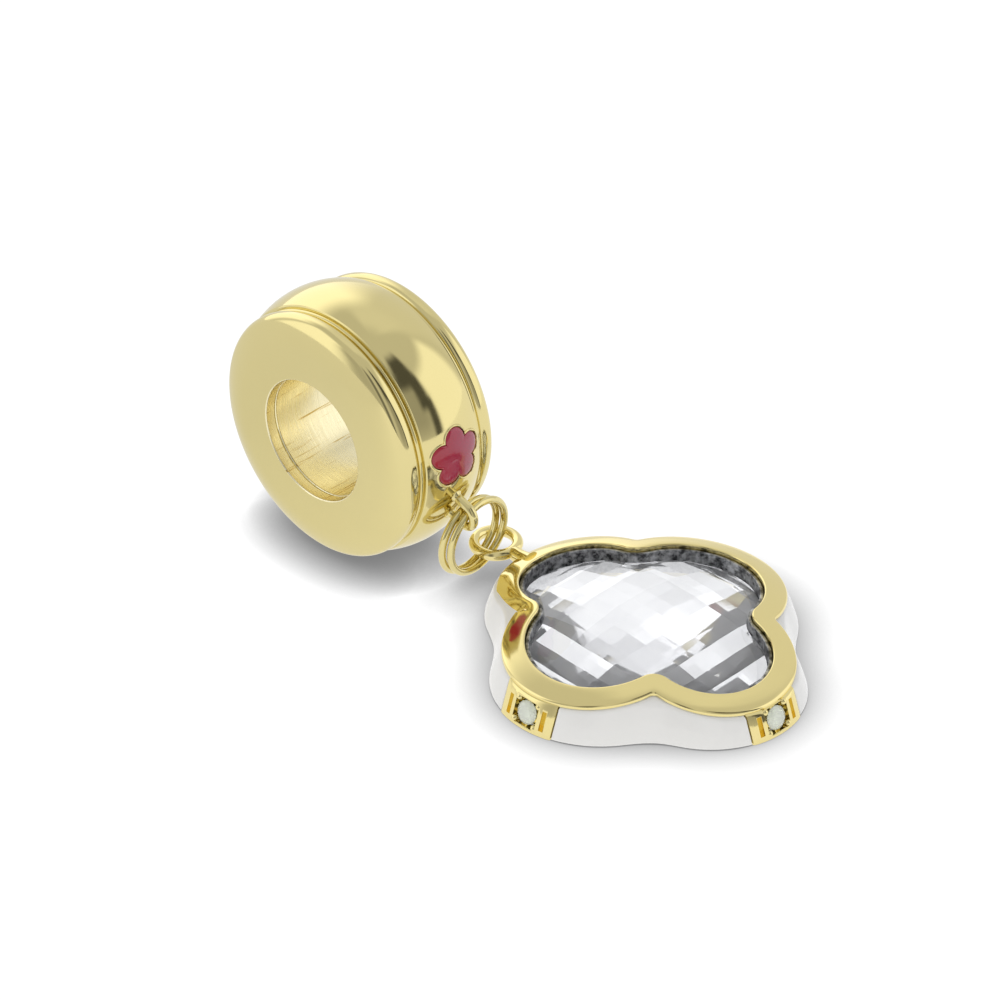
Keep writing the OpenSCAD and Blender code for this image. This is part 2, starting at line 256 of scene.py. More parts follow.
def vitreousEnamel(name, hexOne, hexTwo, axis, fromMm, toMm, roughness):
    # Glass fired on metal: an even colour under a glossy skin, shifting slightly from one side to the other; on the
    # white enamel the shift is painted shade, darker towards the back panels, and on the crimson a change of hue
    material, tree, coords = newMaterial(name)
    across = addNode(tree, "ShaderNodeSeparateXYZ", {"Vector": coords}).outputs[axis]
    run = addNode(tree, "ShaderNodeMapRange", {"Value": across, "From Min": fromMm * mm, "From Max": toMm * mm})
    cloud = addNode(tree, "ShaderNodeTexNoise", {"Vector": coords, "Scale": perMm(0.5), "Detail": 3.0})
    shift = addNode(tree, "ShaderNodeMath", {0: cloud.outputs["Fac"], 1: -0.5}, operation="ADD")
    where = addNode(tree, "ShaderNodeMath", {0: shift.outputs[0], 1: 0.5, 2: run.outputs[0]},
                    operation="MULTIPLY_ADD")
    tone = addNode(tree, "ShaderNodeMix", {
        0: where.outputs[0], 6: toLinear(hexOne), 7: toLinear(hexTwo),
    }, data_type="RGBA")
    swell = addNode(tree, "ShaderNodeTexNoise", {"Vector": coords, "Scale": perMm(1.1), "Detail": 1.0})
    bump = addNode(tree, "ShaderNodeBump", {
        "Height": swell.outputs["Fac"], "Strength": 1.0, "Distance": 0.01 * mm,
    })
    closeMaterial(tree, addNode(tree, "ShaderNodeBsdfPrincipled", {
        "Base Color": tone.outputs[2], "Roughness": roughness, "IOR": 1.52,
        "Coat Weight": 0.7, "Coat Roughness": 0.04, "Normal": bump.outputs["Normal"],
    }))
    return material


# Grey lining of the setting, mottled dark grey with bright metallic specks and a bump that follows the mottle: the
# mottle is painted reflection of the stone's facets
def mottledLining(name, hexDark, hexLight):
    # Oxidised, roughly cast setting: dark grey grains with bright metallic specks
    material, tree, coords = newMaterial(name)
    mottle = addNode(tree, "ShaderNodeTexNoise", {
        "Vector": coords, "Scale": perMm(0.34), "Detail": 6.0, "Roughness": 0.7,
    })
    ramp = addNode(tree, "ShaderNodeValToRGB", {"Fac": mottle.outputs["Fac"]})
    for element, position, colour in zip(ramp.color_ramp.elements, (0.4, 0.64), (hexDark, hexLight)):
        element.position = position
        element.color = toLinear(colour)
    bump = addNode(tree, "ShaderNodeBump", {
        "Height": mottle.outputs["Fac"], "Strength": 1.0, "Distance": 0.08 * mm,
    })
    closeMaterial(tree, addNode(tree, "ShaderNodeBsdfPrincipled", {
        "Base Color": ramp.outputs["Color"], "Metallic": 0.8, "Roughness": 0.35,
        "Normal": bump.outputs["Normal"],
    }))
    return material


def cutCrystal(name, hexColour, ior, clear):
    # Cut and polished crystal: flat glassy facets with a trace of polishing haze; clear is the share that lets light
    # through, less for the small stones, whose pockets would turn a clear one dark
    material, tree, coords = newMaterial(name)
    haze = addNode(tree, "ShaderNodeTexNoise", {"Vector": coords, "Scale": perMm(0.4), "Detail": 3.0})
    rough = addNode(tree, "ShaderNodeMapRange", {
        "Value": haze.outputs["Fac"], "From Min": 0.35, "From Max": 0.7, "To Min": 0.0, "To Max": 0.03,
    })
    closeMaterial(tree, addNode(tree, "ShaderNodeBsdfPrincipled", {
        "Base Color": toLinear(hexColour), "Roughness": rough.outputs[0], "IOR": ior,
        "Transmission Weight": clear,
    }))
    return material


def silverFoil(name, hexOne, hexTwo, metallic, roughness):
    # Foil behind a stone: vacuum-coated silver, slightly matt, that sends the light back up through the facets
    material, tree, coords = newMaterial(name)
    cloud = addNode(tree, "ShaderNodeTexNoise", {"Vector": coords, "Scale": perMm(0.5), "Detail": 3.0})
    tone = addNode(tree, "ShaderNodeMix", {
        0: cloud.outputs["Fac"], 6: toLinear(hexOne), 7: toLinear(hexTwo),
    }, data_type="RGBA")
    closeMaterial(tree, addNode(tree, "ShaderNodeBsdfPrincipled", {
        "Base Color": tone.outputs[2], "Metallic": metallic, "Roughness": roughness,
    }))
    return material


gold = polishedGold("polished_gold_plate", "#e4d699", 0.08, 0.003)
castGold = polishedGold("cast_gold_plate", "#efdf9e", 0.09, 0.003)
boreGold = turnedGold("turned_gold_bore", "#f8eec6", "#c9ab62")
crimson = vitreousEnamel("crimson_vitreous_enamel", "#a60a2a", "#a1204a", "Y", -2.9, -0.9, 0.22)
# the white enamel's shift is painted shade: lighter at the front (Y -3 mm), darker towards the back (Y 6 mm)
white = vitreousEnamel("white_vitreous_enamel", "#f0efec", "#e2e2e2", "Y", -3.0, 6.0, 0.3)
# grey lining whose mottle of dark blotches and bright specks is painted reflection of the stone's facets
liningGrey = mottledLining("grey_lining_painted_reflection", "#3a3b3d", "#d6d7da")
crystal = cutCrystal("cut_crystal", "#f8f9fb", 1.54, 1.0)
sideCrystal = cutCrystal("cut_side_crystal", "#fbfff2", 1.76, 0.35)
foil = silverFoil("silver_foil", "#fdfdfd", "#f2f2f4", 0.7, 0.06)
sideFoil = silverFoil("side_stone_foil", "#fbfff4", "#eef6e4", 0.6, 0.12)
print("materials made")


# Bead

bead = {
    "centre": Vector((-7.515, -1.9, 5.38)), "halfWidth": 2.55, "steps": 240,
    "boreR": 2.5, "boreRound": 0.07, "boreRows": (0, 0.7, 1.4, 1.9),
    "grooveIn": 0.5, "grooveR": 0.07,               # fine line just inside each mouth
    "flangeR": 5.03, "flangeW": 0.95, "edgeR": 0.4, "cornerR": 0.24,
    "faceR": 3.2, "flatR": 3.7, "faceCrownR": 2.4,  # the flange's flat face and the soft crown round it
    "lineT": 0.2, "lineR": 4.87,                    # raised line between flange and barrel
    "barrelR": 5.38, "crownR": 3.4, "barrelEdgeR": 0.05,
    "eyeAngle": 18.2, "eyeR": 0.46, "eyeWireR": 0.18, "eyeLeg": 0.62, "eyeSunk": 0.5,
    # solder round a foot of the eye: radius, height above the barrel
    "solder": [(0, 0.1), (0.178, 0.1), (0.19, 0.04), (0.22, -0.01), (0.27, -0.05), (0.33, -0.09), (0.33, -0.5),
               (0, -0.5)],
}
blossom = {
    "petalR": 0.47, "reach": 0.72, "first": 18, "angle": 7, "depth": 0.3, "gap": 0.03, "rimR": 0.045, "cutAbove": 0.4,
    # share of the outline, height above the barrel; None is the flat bottom
    "enamelRows": [(0, None), (1, None), (1, -0.03), (0.985, 0.0), (0.95, 0.02), (0.85, 0.03), (0.6, 0.035),
                   (0.3, 0.035), (0, 0.035)],
}


def beadProfile(f):
    inner = f["halfWidth"] - f["flangeW"]           # the flange's inner side
    barrelHalf = inner - f["lineT"]
    half = [(f["boreR"], y) for y in f["boreRows"]]
    half += arc((f["boreR"], f["halfWidth"] - f["grooveIn"]), f["grooveR"], -90, 90, 6)
    half += arc((f["boreR"] + f["boreRound"], f["halfWidth"] - f["boreRound"]), f["boreRound"], 180, 90, 5)
    half += [(f["faceR"], f["halfWidth"])]
    crown = (f["flatR"], f["halfWidth"] - f["faceCrownR"])
    inside = f["faceCrownR"] - f["edgeR"]
    turnDeg = math.degrees(math.acos((f["flangeR"] - f["edgeR"] - f["flatR"]) / inside))
    half += arc(crown, f["faceCrownR"], 90, turnDeg, 12)
    edge = (f["flangeR"] - f["edgeR"], crown[1] + math.sin(math.radians(turnDeg)) * inside)
    half += arc(edge, f["edgeR"], turnDeg, 0, 10)[1:]
    half += arc((f["flangeR"] - f["cornerR"], inner + f["cornerR"]), f["cornerR"], 0, -78, 7)
    half += arc((f["lineR"], barrelHalf + f["lineT"] / 2), f["lineT"] / 2 + 0.01, 50, -60, 8)
    crownX = f["barrelR"] - f["crownR"]
    edgeX = crownX + math.sqrt(f["crownR"] ** 2 - barrelHalf ** 2)
    edgeR = f["barrelEdgeR"]
    half += arc((edgeX - edgeR, barrelHalf - edgeR), edgeR, 90, 24, 4)
    first = math.degrees(math.asin((barrelHalf - edgeR * 0.8) / f["crownR"]))
    half += arc((crownX, 0), f["crownR"], first, 0, 16)
    return half + [(r, -y) for r, y in half[-2:0:-1]]


def onBarrel(angleBelow):
    # +X out of the barrel, +Y along the bore, turned to an angle below the bead's axis
    return Matrix.Translation(bead["centre"]) @ Matrix.Rotation(math.radians(angleBelow), 4, "Y")


def barrelAt(y, z, lift):
    r = bead["barrelR"] - bead["crownR"] + math.sqrt(bead["crownR"] ** 2 - y * y)
    return Vector((math.sqrt(r * r - z * z) + lift, y, z))


def blossomOutline(f, grow):
    r = f["petalR"] + grow
    fifth = math.radians(36)
    out = f["reach"] * math.cos(fifth) + math.sqrt(r * r - (f["reach"] * math.sin(fifth)) ** 2)
    meetDeg = math.degrees(math.atan2(out * math.sin(fifth), out * math.cos(fifth) - f["reach"]))
    points = []
    for petal in range(5):
        turn = Matrix.Rotation(math.radians(f["first"] + 72 * petal), 2)
        points += [turn @ Vector(p) for p in arc((f["reach"], 0), r, -meetDeg, meetDeg, 16)[:-1]]
    return points


def blossomSolid(f, grow, rows):
    outline = blossomOutline(f, grow)

    def spot(i, j):
        share, lift = rows[j]
        y, z = outline[i % len(outline)] * share
        return Vector((bead["barrelR"] - f["depth"] - grow, y, z)) if lift is None else barrelAt(y, z, lift)

    bm = mappedGrid(len(outline), len(rows) - 1, spot)
    weld(bm)
    bm.transform(onBarrel(-f["angle"]))
    return bm


def buildBead():
    bm = spinProfile(beadProfile(bead), bead["steps"])
    bmesh.ops.translate(bm, vec=bead["centre"], verts=bm.verts)
    above = blossom["cutAbove"]
    pocket = blossomSolid(blossom, blossom["gap"], [(0, None), (1, None), (1, above), (0, above)])
    bm = boolean(bm, pocket, "DIFFERENCE")
    # Raised gold rim round the enamel
    outline = blossomOutline(blossom, blossom["gap"] + blossom["rimR"] * 0.8)
    section = arc((0, 0), blossom["rimR"], 0, 360, 10)[:-1]

    def rimSpot(i, j):
        here, after = outline[i % len(outline)], outline[(i + 1) % len(outline)]
        before = outline[i % len(outline) - 1]
        side = (after - before).normalized()
        a, b = section[j % len(section)]
        y, z = here.x + side.y * a, here.y - side.x * a
        return barrelAt(y, z, b)

    rim = mappedGrid(len(outline), len(section), rimSpot)
    weld(rim)
    addTo(bm, rim, onBarrel(-blossom["angle"]))
    # Soldered eye: a loop whose hole runs along the bore, with a little solder round each foot
    atEye = onBarrel(bead["eyeAngle"])
    addTo(bm, bentWire(bead["eyeR"], bead["eyeLeg"], bead["eyeSunk"], bead["eyeWireR"]),
          atEye @ Matrix.Translation((bead["barrelR"] + bead["eyeLeg"], 0, 0)))
    for side in (-1, 1):
        addTo(bm, spinProfile(bead["solder"], 24, False),
              atEye @ Matrix.Translation((bead["barrelR"], 0, side * bead["eyeR"]))
              @ Matrix.Rotation(math.radians(-90), 4, "Z"))
    for face in bm.faces:
        away = face.calc_center_median() - bead["centre"]
        inBore = math.hypot(away.x, away.z) < bead["boreR"] + 0.05
        face.material_index = 1 if inBore else 0
    return bm


makePiece("bead_body", buildBead(), [gold, boreGold], ["bead"])
petals = blossomSolid(blossom, 0, blossom["enamelRows"])
makePiece("blossom_enamel", petals, [crimson], ["bead_blossom"], 40)


# Jump rings

jumpRings = {
    "ringR": 1.53, "wireR": 0.15, "steps": 96,
    # each ring's middle, from the bead's middle, and the way that it faces
    "left": (Vector((5.3005, 0.608, -3.247)), Vector((-0.9948, -0.0608, 0.0819))),
    "right": (Vector((5.644, 0.723, -3.2095)), Vector((-0.9951, -0.0691, 0.0703))),
}
for name in ("left", "right"):
    middle, facing = jumpRings[name]
    ring = wireRing(jumpRings["ringR"], jumpRings["wireR"], jumpRings["steps"])
    ring.transform(Matrix.Translation(bead["centre"] + middle) @ facing.to_track_quat("Y", "Z").to_matrix().to_4x4())
    makePiece("jump_ring_wire_" + name, ring, [gold], ["jump_ring_" + name])


# Clover outline: quarter from the +X lobe's axis over the notch to the +Y lobe's axis

clover = {
    "centre": Vector((5.835, 0, 0)), "backT": 0.4, "gap": 0.03,
    # lobes' circles, grown by rimW for the rim's edge
    "lobeX": Vector((3.3, 0)), "lobeXR": 2.36, "lobeY": Vector((0, 2.42)), "lobeYR": 2.78,
    "rimW": 0.9, "rimT": 0.18, "rimNotchR": 0.25, "rimEdgeR": 0.08, "rimCrown": 0.012, "domeZ": 2.56, "domeR": 17,
    # well for the stone
    "wellX": Vector((3.22, 0)), "wellXR": 2.44, "wellY": Vector((0, 2.34)), "wellYR": 2.86, "wellNotchR": 0.75,
    # wall: it flares towards the foot, and a third circle fills its notches
    "flare": 0.5, "flareZ": 1.5, "notch": Vector((2.45, 2.25)), "notchFootR": 2.4, "notchTopR": 1.6, "notchH": 2.66,
    "notchInset": 1.6, "enamelT": 0.32, "barHalf": 1.25, "stripHalf": 0.35,
    # dip of the rim at the notch that faces the bead: depth, start across the rim, middle and half length in columns
    "grooveD": 0.34, "grooveFrom": 0.42, "grooveAt": 24, "grooveColumns": 14,
    "halfLobe": 28, "inNotch": 12,                  # columns of a quarter
}
quarterColumns = 2 * clover["halfLobe"] + clover["inNotch"]
settleRounds = 5                                    # the wall's place and height depend on each other


def farMeet(c1, r1, c2, r2):
    # The meeting point of two circles that lies farther from the middle
    apart = c2 - c1
    along = (r1 * r1 - r2 * r2 + apart.length_squared) / (2 * apart.length)
    across = math.sqrt(max(0.0, r1 * r1 - along * along))
    unit = apart.normalized()
    ends = [c1 + unit * along + Vector((-unit.y, unit.x)) * across * s for s in (-1, 1)]
    return max(ends, key=lambda p: p.length)


def onArc(centre, start, end, share):
    a, b = start - centre, end - centre
    turn = math.atan2(a.x * b.y - a.y * b.x, a.dot(b))
    return centre + Matrix.Rotation(turn * share, 2) @ a


def threeArcs(column, lobeX, rx, lobeY, ry, middle, creaseX, creaseY, startX=0.0, startY=0.0):
    # Along the +X lobe to its crease, through the notch, and along the +Y lobe
    n, m = clover["halfLobe"], clover["inNotch"]
    if column <= n:
        first = lobeX + Vector((math.sqrt(rx * rx - startX * startX), startX))
        return onArc(lobeX, first, creaseX, column / n)
    if column >= n + m:
        last = lobeY + Vector((startY, math.sqrt(ry * ry - startY * startY)))
        return onArc(lobeY, creaseY, last, (column - n - m) / n)
    return onArc(middle, creaseX, creaseY, (column - n) / m)


def outlineAt(column, grow):
    # The rim's outer outline, with a small fillet in the notch
    f = clover
    rx, ry, cornerR = f["lobeXR"] + grow, f["lobeYR"] + grow, f["rimNotchR"]
    middle = farMeet(f["lobeX"], rx + cornerR, f["lobeY"], ry + cornerR)
    creaseX = f["lobeX"] + (middle - f["lobeX"]) * rx / (rx + cornerR)
    creaseY = f["lobeY"] + (middle - f["lobeY"]) * ry / (ry + cornerR)
    return threeArcs(column, f["lobeX"], rx, f["lobeY"], ry, middle, creaseX, creaseY)


def wellAt(column, grow=0.0):
    # The well's outline: wider lobes and a wide fillet in the notch
    f = clover
    wideX, wideY = f["wellXR"] + f["wellNotchR"], f["wellYR"] + f["wellNotchR"]
    middle = farMeet(f["wellX"], wideX, f["wellY"], wideY)
    rx, ry = f["wellXR"] + grow, f["wellYR"] + grow
    creaseX = f["wellX"] + (middle - f["wellX"]) * rx / wideX
    creaseY = f["wellY"] + (middle - f["wellY"]) * ry / wideY
    return threeArcs(column, f["wellX"], rx, f["wellY"], ry, middle, creaseX, creaseY)


def footOutlineAt(column, grow, fillR, startX=0.0, startY=0.0):
    # The wall's outline: a third arc fills the notch
    f = clover
    rx, ry = f["lobeXR"] + grow, f["lobeYR"] + grow
    creaseX = farMeet(f["lobeX"], rx, f["notch"], fillR)
    creaseY = farMeet(f["lobeY"], ry, f["notch"], fillR)
    return threeArcs(column, f["lobeX"], rx, f["lobeY"], ry, f["notch"], creaseX, creaseY, startX, startY)


def domeAt(p, drop):
    # Height of the rim's dome over a point, less a drop
    f = clover
    return f["domeZ"] - drop - f["domeR"] + math.sqrt(f["domeR"] ** 2 - p.x * p.x - p.y * p.y)


def wallAt(column, inset, share, foot=0.0, topDrop=clover["rimT"], startX=0.0, startY=0.0):
    # A point on the flaring wall, from its foot (share 0) to just under the rim (share 1)
    f = clover
    z = share
    for _ in range(settleRounds):
        grow = f["rimW"] + f["flare"] * (1 - z / f["flareZ"]) - inset
        fillR = f["notchFootR"] - (f["notchFootR"] - f["notchTopR"]) * z / f["notchH"] - inset * f["notchInset"]
        p = footOutlineAt(column, grow, fillR, startX, startY)
        z = foot + share * (domeAt(p, topDrop) - foot)
    return Vector((p.x, p.y, z))


def rimAt(column, out, drop):
    # A point of the rim, that far out from the well's edge at a lobe's tip
    p = wellAt(column).lerp(outlineAt(column, clover["rimW"]), out / clover["rimW"])
    return Vector((p.x, p.y, domeAt(p, drop)))


def wellPoint(column, grow, z, share=1.0):
    p = wellAt(column, grow) * share
    return Vector((p.x, p.y, z))


# Clover frame

setting = {
    "pocketW": 1.14, "pocketH": 1.04, "pocketD": 0.5, "pocketZ": 0.66, "mouthIn": 0.04, "mouthOut": 0.08,
    "chamferW": 0.12, "chamferH": 0.072,
    "slitW": 0.2, "slitH": 0.8, "slitD": 0.35, "slitOut": 0.27, "cutOut": 2,
    "prongR": 0.14, "prongIn": 0.08, "prongHead": -0.13, "prongFoot": -0.3,
}
castEye = {
    "reach": 7.908, "r": 0.83, "wireR": 0.22, "z": 1.15, "neckReach": 6.05,
    # neck: radius, distance towards the eye
    "neck": [(0, 0), (0.46, 0), (0.4, 0.12), (0.33, 0.3), (0.3, 0.5), (0.3, 0.72), (0.28, 0.88), (0.2, 1.02),
             (0, 1.02)],
}
# setting bar: inset from the wall's face, share of the height
barRows = [(0.8, 0.0), (0.05, 0.0), (0.014, 0.012), (0.0, 0.05), (0.0, 0.3), (0.0, 0.6), (0.0, 0.96), (0.03, 1.0),
           (0.8, 1.0), (0.8, 0.0)]
leanDeg = math.degrees(math.atan2(clover["flare"], clover["flareZ"]))


def atTip(turnDeg):
    # +X out of the leaned wall at a lobe's tip, +Z up along it
    f = clover
    alongX = turnDeg % 180 == 0
    reach = (f["lobeX"].x + f["lobeXR"]) if alongX else (f["lobeY"].y + f["lobeYR"])
    return (Matrix.Translation(f["centre"]) @ Matrix.Rotation(math.radians(turnDeg), 4, "Z")
            @ Matrix.Translation((reach + f["rimW"] + f["flare"], 0, 0))
            @ Matrix.Rotation(math.radians(-leanDeg), 4, "Y"))


tips = {"left": 270, "front": 0, "right": 90}


def rimRows():
    # (distance from the well's edge, drop below the dome): two rounded edges and a faint crown between them
    width, edgeR, crown, under = clover["rimW"], clover["rimEdgeR"], clover["rimCrown"], 0.02
    inner = [(edgeR - x, edgeR + crown - y) for x, y in arc((0, 0), edgeR, 0, 90, 5)]
    top = [(width * s, crown * (2 * s - 1) ** 4) for s in (0.2, 0.35, 0.5, 0.65, 0.8)]
    outer = [(width - edgeR + x, edgeR + crown - y) for x, y in arc((0, 0), edgeR, 90, 0, 5)]
    return inner + top + outer + [(width, clover["rimT"] - under), (width - under, clover["rimT"])]


def footAt(column, share):
    # The frame's back, from its middle (share 0) to its slightly rounded edge
    edge = wallAt(column, clover["enamelT"] + 0.02, 0)
    return Vector((edge.x * share, edge.y * share, 0))


def buildShell():
    f = clover
    rim = rimRows()
    rows = [lambda c, s=s: wellPoint(c, 0, f["backT"], s) for s in (0, 0.5, 1)]
    firstRim = len(rows)
    rows += [lambda c, g=g, d=d: rimAt(c, g, d) for g, d in rim]
    rows += [lambda c, s=s: wallAt(c, f["enamelT"], s) for s in (1, 0.75, 0.5, 0.25, 0.02)]
    rows += [lambda c, s=s: footAt(c, s) for s in (1, 0.5, 0)]
    shell = mappedGrid(quarterColumns, len(rows) - 1, lambda i, j: rows[j](i))
    grid = kdtree.KDTree(len(shell.verts))
    dips = []
    for i in range(quarterColumns + 1):             # how far the rim dips at each vertex of the quarter
        beside = abs(i - f["grooveAt"]) / f["grooveColumns"]
        for j in range(len(rows)):
            out = rim[j - firstRim][0] / f["rimW"] if firstRim <= j < firstRim + len(rim) else 0.0
            share = max(0.0, (out - f["grooveFrom"]) / (1 - f["grooveFrom"])) * max(0.0, 1 - beside * beside)
            grid.insert(rows[j](i), len(dips))
            dips.append(f["grooveD"] * share)
    grid.balance()
    mirrored(shell, "XY")
    for v in shell.verts:                           # only the notch that faces the bead has it
        if v.co.x < 0 and v.co.y < 0:
            v.co.z -= dips[grid.find((-v.co.x, -v.co.y, v.co.z))[1]]
    shell.transform(Matrix.Translation(f["centre"]))
    return shell


def barBlock(turnDeg, half):
    # A block of wall between two side planes, from the foot to inside the rim
    f = clover
    alongX = turnDeg % 180 == 0
    lobeR = (f["lobeXR"] if alongX else f["lobeYR"]) + f["rimW"] + f["flare"]
    lobe = f["lobeX"].x if alongX else f["lobeY"].y
    columns, sideEdge, intoRim = 18, 0.03, 0.05

    def spot(i, j):
        inset, share = barRows[j]
        s = -half + 2 * half * i / columns
        edge = sideEdge if i in (0, columns) else 0.0
        z = share
        for _ in range(settleRounds):
            radius = lobeR - f["flare"] * z / f["flareZ"] - max(inset, edge)
            x = lobe + math.sqrt(radius * radius - s * s)
            z = share * domeAt(Vector((x, s)), f["rimT"] - intoRim)
        return Vector((x, s, z))

    bm = mappedGrid(columns, len(barRows) - 1, spot)
    weld(bm)
    capHoles(bm)
    bm.transform(Matrix.Translation(f["centre"]) @ Matrix.Rotation(math.radians(turnDeg), 4, "Z"))
    return bm


def boxBetween(low, high):
    bm = bmesh.new()
    bmesh.ops.create_cube(bm, size=1)
    low, high = Vector(low), Vector(high)
    for v in bm.verts:
        v.co = Vector([a + (b - a) * (c + 0.5) for a, b, c in zip(low, high, v.co)])
    return bm


def pocketCutter():
    g = setting
    halfW, halfH, middle = g["pocketW"] / 2, g["pocketH"] / 2, g["pocketZ"]
    bm = boxBetween((-g["pocketD"], -halfW, middle - halfH), (-g["mouthIn"], halfW, middle + halfH))
    for x in (g["mouthOut"], g["cutOut"]):          # chamfered mouth, then straight out
        front = [face for face in bm.faces if face.normal.x > 0.9]
        made = bmesh.ops.extrude_face_region(bm, geom=front)["geom"]
        bmesh.ops.delete(bm, geom=front, context="FACES")
        for v in [item for item in made if isinstance(item, bmesh.types.BMVert)]:
            v.co.y = math.copysign(halfW + g["chamferW"], v.co.y)
            v.co.z = middle + math.copysign(halfH + g["chamferH"], v.co.z - middle)
            v.co.x = x
        bm.normal_update()
    bmesh.ops.recalc_face_normals(bm, faces=bm.faces)
    return bm


def prongProfile():
    # Setting bead on its post: radius, height out of the wall
    r, head, foot = setting["prongR"], setting["prongHead"], setting["prongFoot"]
    dome = [(r * math.cos(a), head + r * math.sin(a)) for a in (0.0, 0.4, 0.8, 1.2)]
    return [(0, foot), (r * 0.9, foot), (r * 0.85, foot + 0.1)] + dome + [(0, head + r)]


def buildFrame():
    f, g = clover, setting
    bm = buildShell()
    blocks = bmesh.new()
    for turnDeg in tips.values():
        addTo(blocks, barBlock(turnDeg, f["barHalf"]))
    addTo(blocks, barBlock(180, f["stripHalf"]))
    bm = boolean(bm, blocks, "UNION")
    cutters = bmesh.new()
    slitY = g["pocketW"] / 2 + g["slitOut"]
    for turnDeg in tips.values():
        addTo(cutters, pocketCutter(), atTip(turnDeg))
        for side in (-1, 1):
            slit = boxBetween((-g["slitD"], side * slitY - g["slitW"] / 2, g["pocketZ"] - g["slitH"] / 2),
                              (g["cutOut"], side * slitY + g["slitW"] / 2, g["pocketZ"] + g["slitH"] / 2))
            addTo(cutters, slit, atTip(turnDeg))
    bm = boolean(bm, cutters, "DIFFERENCE")
    # Setting beads at the pockets' corners
    outwards = Matrix.Rotation(math.radians(-90), 4, "Z")
    for turnDeg in tips.values():
        for sy in (-1, 1):
            for sz in (-1, 1):
                corner = Matrix.Translation((0, sy * (g["pocketW"] / 2 - g["prongIn"]),
                                             g["pocketZ"] + sz * (g["pocketH"] / 2 - g["prongIn"])))
                addTo(bm, spinProfile(prongProfile(), 20, False), atTip(turnDeg) @ corner @ outwards)
    # Cast eye and its neck
    e = castEye
    addTo(bm, wireRing(e["r"], e["wireR"], 72),
          Matrix.Translation(f["centre"] + Vector((-e["reach"], 0, e["z"])))
          @ Matrix.Rotation(math.radians(90), 4, "X"))
    addTo(bm, spinProfile(e["neck"], 24, False),
          Matrix.Translation(f["centre"] + Vector((-e["neckReach"], 0, e["z"])))
          @ Matrix.Rotation(math.radians(90), 4, "Z"))
    return bm


makePiece("clover_frame_metal", buildFrame(), [castGold], ["clover_frame"], 28)


# Enamel panels: a closed section swept along a quarter of the wall, with rounded ends and edges

panel = {
    # section: inset from the wall's face, share of the height
    "rows": [(0.29, 0.0), (0.29, 1.0), (0.12, 1.0), (0.05, 0.985), (0.012, 0.95), (0.0, 0.9), (-0.008, 0.7),
             (-0.012, 0.5), (-0.008, 0.3), (0.0, 0.08), (0.012, 0.035), (0.05, 0.008), (0.1, 0.0), (0.29, 0.0)],
    "endColumns": [0.0, 0.08, 0.24, 0.48],          # places of the extra columns at each end, in columns
    "columnMm": 0.13, "endR": 0.09, "meltReach": 5, "meltInset": 0.2,
}


def softened(line, reach):
    # Each point becomes the mean of its neighbours, so that creases melt away as in fired glass; the ends stay
    out = []
    for i in range(len(line)):
        n = min(reach, i, len(line) - 1 - i)
        near = line[i - n:i + n + 1]
        out.append(sum(near, Vector((0, 0, 0))) / len(near))
    return out


def buildPanel(startX, startY, signX, signY):
    f, g = clover, panel
    extra = len(g["endColumns"]) - 1
    last = quarterColumns + 2 * extra

    def columnAt(i):
        if i <= extra:
            return g["endColumns"][i]
        if i >= last - extra:
            return quarterColumns - g["endColumns"][last - i]
        return i - extra

    def wallPoint(i, row):
        inset, share = row
        c = columnAt(i)
        near = min(c, quarterColumns - c) * g["columnMm"]
        if near < g["endR"]:
            inset = max(inset, g["endR"] * (1 - math.sqrt(1 - (1 - near / g["endR"]) ** 2)))
        return wallAt(c, inset, share, f["gap"], f["rimT"] + f["gap"], startX, startY)

    lines = []
    for row in g["rows"]:                           # what shows is melted, the hidden back isn't
        line = [wallPoint(i, row) for i in range(last + 1)]
        lines.append(softened(line, g["meltReach"]) if row[0] < g["meltInset"] else line)
    bm = mappedGrid(last, len(lines) - 1, lambda i, j: lines[j][i])
    weld(bm)
    capHoles(bm)
    bmesh.ops.scale(bm, vec=(signX, signY, 1), verts=bm.verts)
    bmesh.ops.recalc_face_normals(bm, faces=bm.faces)
    bm.transform(Matrix.Translation(f["centre"]))
    return bm


barStart, stripStart = clover["barHalf"] + clover["gap"], clover["stripHalf"] + clover["gap"]
for name, startX, signX, signY in (("back_right", barStart, 1, 1), ("back_left", stripStart, -1, 1),
                                   ("front_left", stripStart, -1, -1), ("front_right", barStart, 1, -1)):
    makePiece("enamel_" + name + "_glaze", buildPanel(startX, barStart, signX, signY), [white],
              ["enamel_" + name], 50)


# Grey lining of the well: a cup, rough as cast on the inside of its wall

lining = {"wallT": 0.14, "topDrop": 0.24, "edgeR": 0.02, "steps": 14, "roughness": 0.03, "lumpsPerMm": 4.0}


